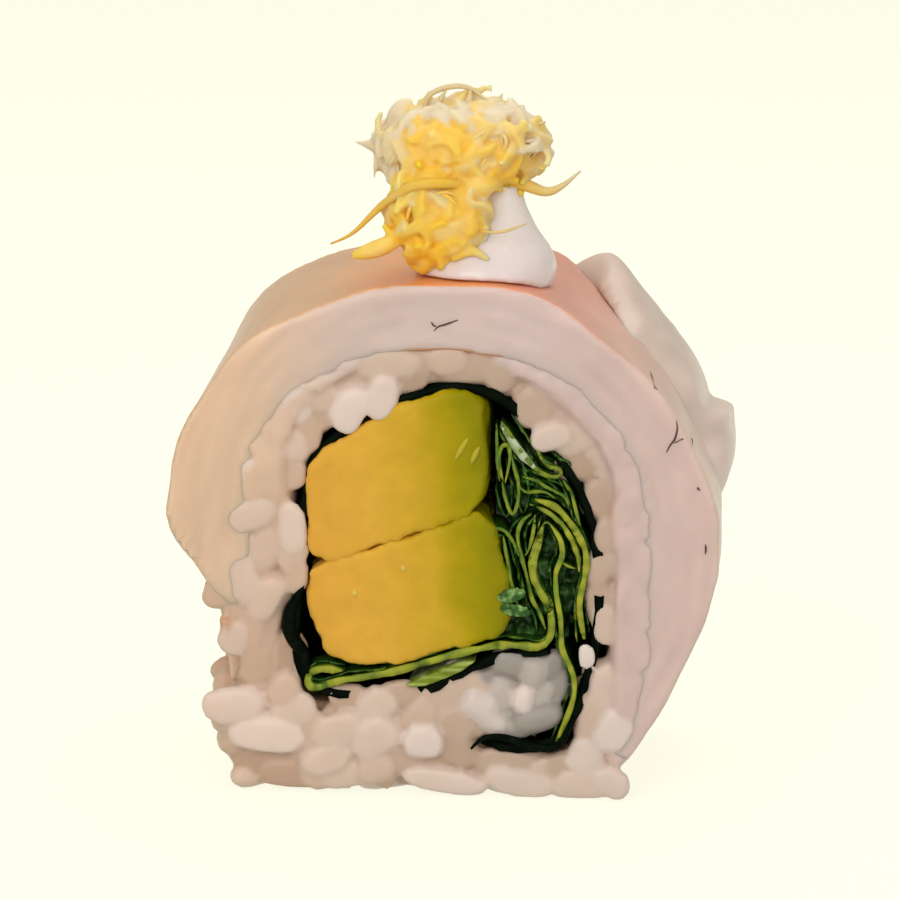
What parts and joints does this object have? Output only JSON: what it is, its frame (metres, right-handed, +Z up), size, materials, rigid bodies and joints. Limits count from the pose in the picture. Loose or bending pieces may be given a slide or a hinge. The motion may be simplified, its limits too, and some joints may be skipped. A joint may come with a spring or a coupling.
{
  "type": "uramaki roll piece",
  "caption": "Cut piece of inside-out sushi roll: rice round seaweed, avocado and salad leaves, draped with raw white fish and topped with cream and citrus zest.",
  "frame": {"origin": "on the table, under the middle of the flat foot that the piece lies on", "axes": "+Z up, +Y from the front cut to the back cut, +X to the right along the front cut as it is looked at"},
  "size_m": [0.0418, 0.0242, 0.0538],
  "materials": {
    "rice": "moist, translucent",
    "seaweed": "dull, rough",
    "avocado": "moist, smooth",
    "leaf": "moist, veined",
    "fish": "moist, translucent",
    "cream": "smooth, glossy",
    "zest": "moist, fine shreds"
  },
  "bodies": {
    "root": {"rice": "rice", "seaweed": "seaweed", "avocado_upper": "avocado", "avocado_lower": "avocado", "leaf_under": "leaf", "leaf_tail": "leaf", "leaf_outer": "leaf", "leaf_inner": "leaf", "leaf_folds": "leaf", "leaf_top": "leaf", "leaf_stem": "leaf", "fish_front": "fish", "fish_back": "fish", "cream": "cream", "zest": "zest"}
  },
  "joints": []
}
